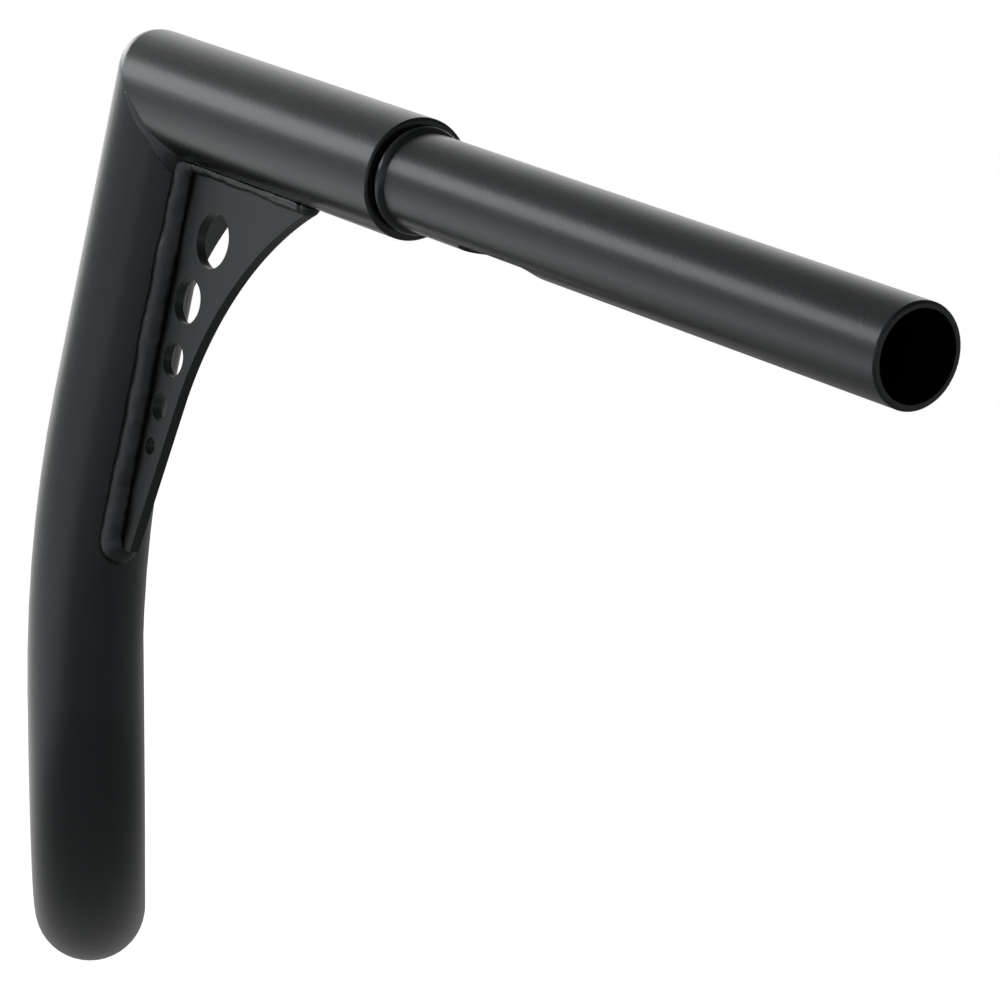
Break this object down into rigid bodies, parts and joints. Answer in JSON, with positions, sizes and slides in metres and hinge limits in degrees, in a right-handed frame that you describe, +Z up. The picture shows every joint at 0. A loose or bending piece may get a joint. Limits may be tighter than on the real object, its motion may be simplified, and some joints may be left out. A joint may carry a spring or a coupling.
{
  "type": "motorcycle handlebar",
  "caption": "Tall welded motorcycle handlebar: a bent main tube with mitred top tubes, smaller grip tubes and drilled gussets, held in riser clamps.",
  "frame": {"origin": "middle of the straight section that the risers clamp, on the tube's axis", "axes": "+X to the rider's right along the clamping section, +Y forward, +Z up"},
  "size_m": [0.8552, 0.2124, 0.2695],
  "materials": {
    "coated_tube": "satin black powder coat",
    "coated_weld": "satin black powder coat over weld"
  },
  "bodies": {
    "root": {"main_bent_tube": "coated_tube", "left_top_tube": "coated_tube", "left_grip_tube": "coated_tube", "left_gusset": "coated_tube", "right_top_tube": "coated_tube", "right_grip_tube": "coated_tube", "right_gusset": "coated_tube", "left_mitre_weld": "coated_weld", "left_gusset_weld": "coated_weld", "left_collar_weld": "coated_weld", "right_mitre_weld": "coated_weld", "right_gusset_weld": "coated_weld", "right_collar_weld": "coated_weld"}
  },
  "joints": []
}
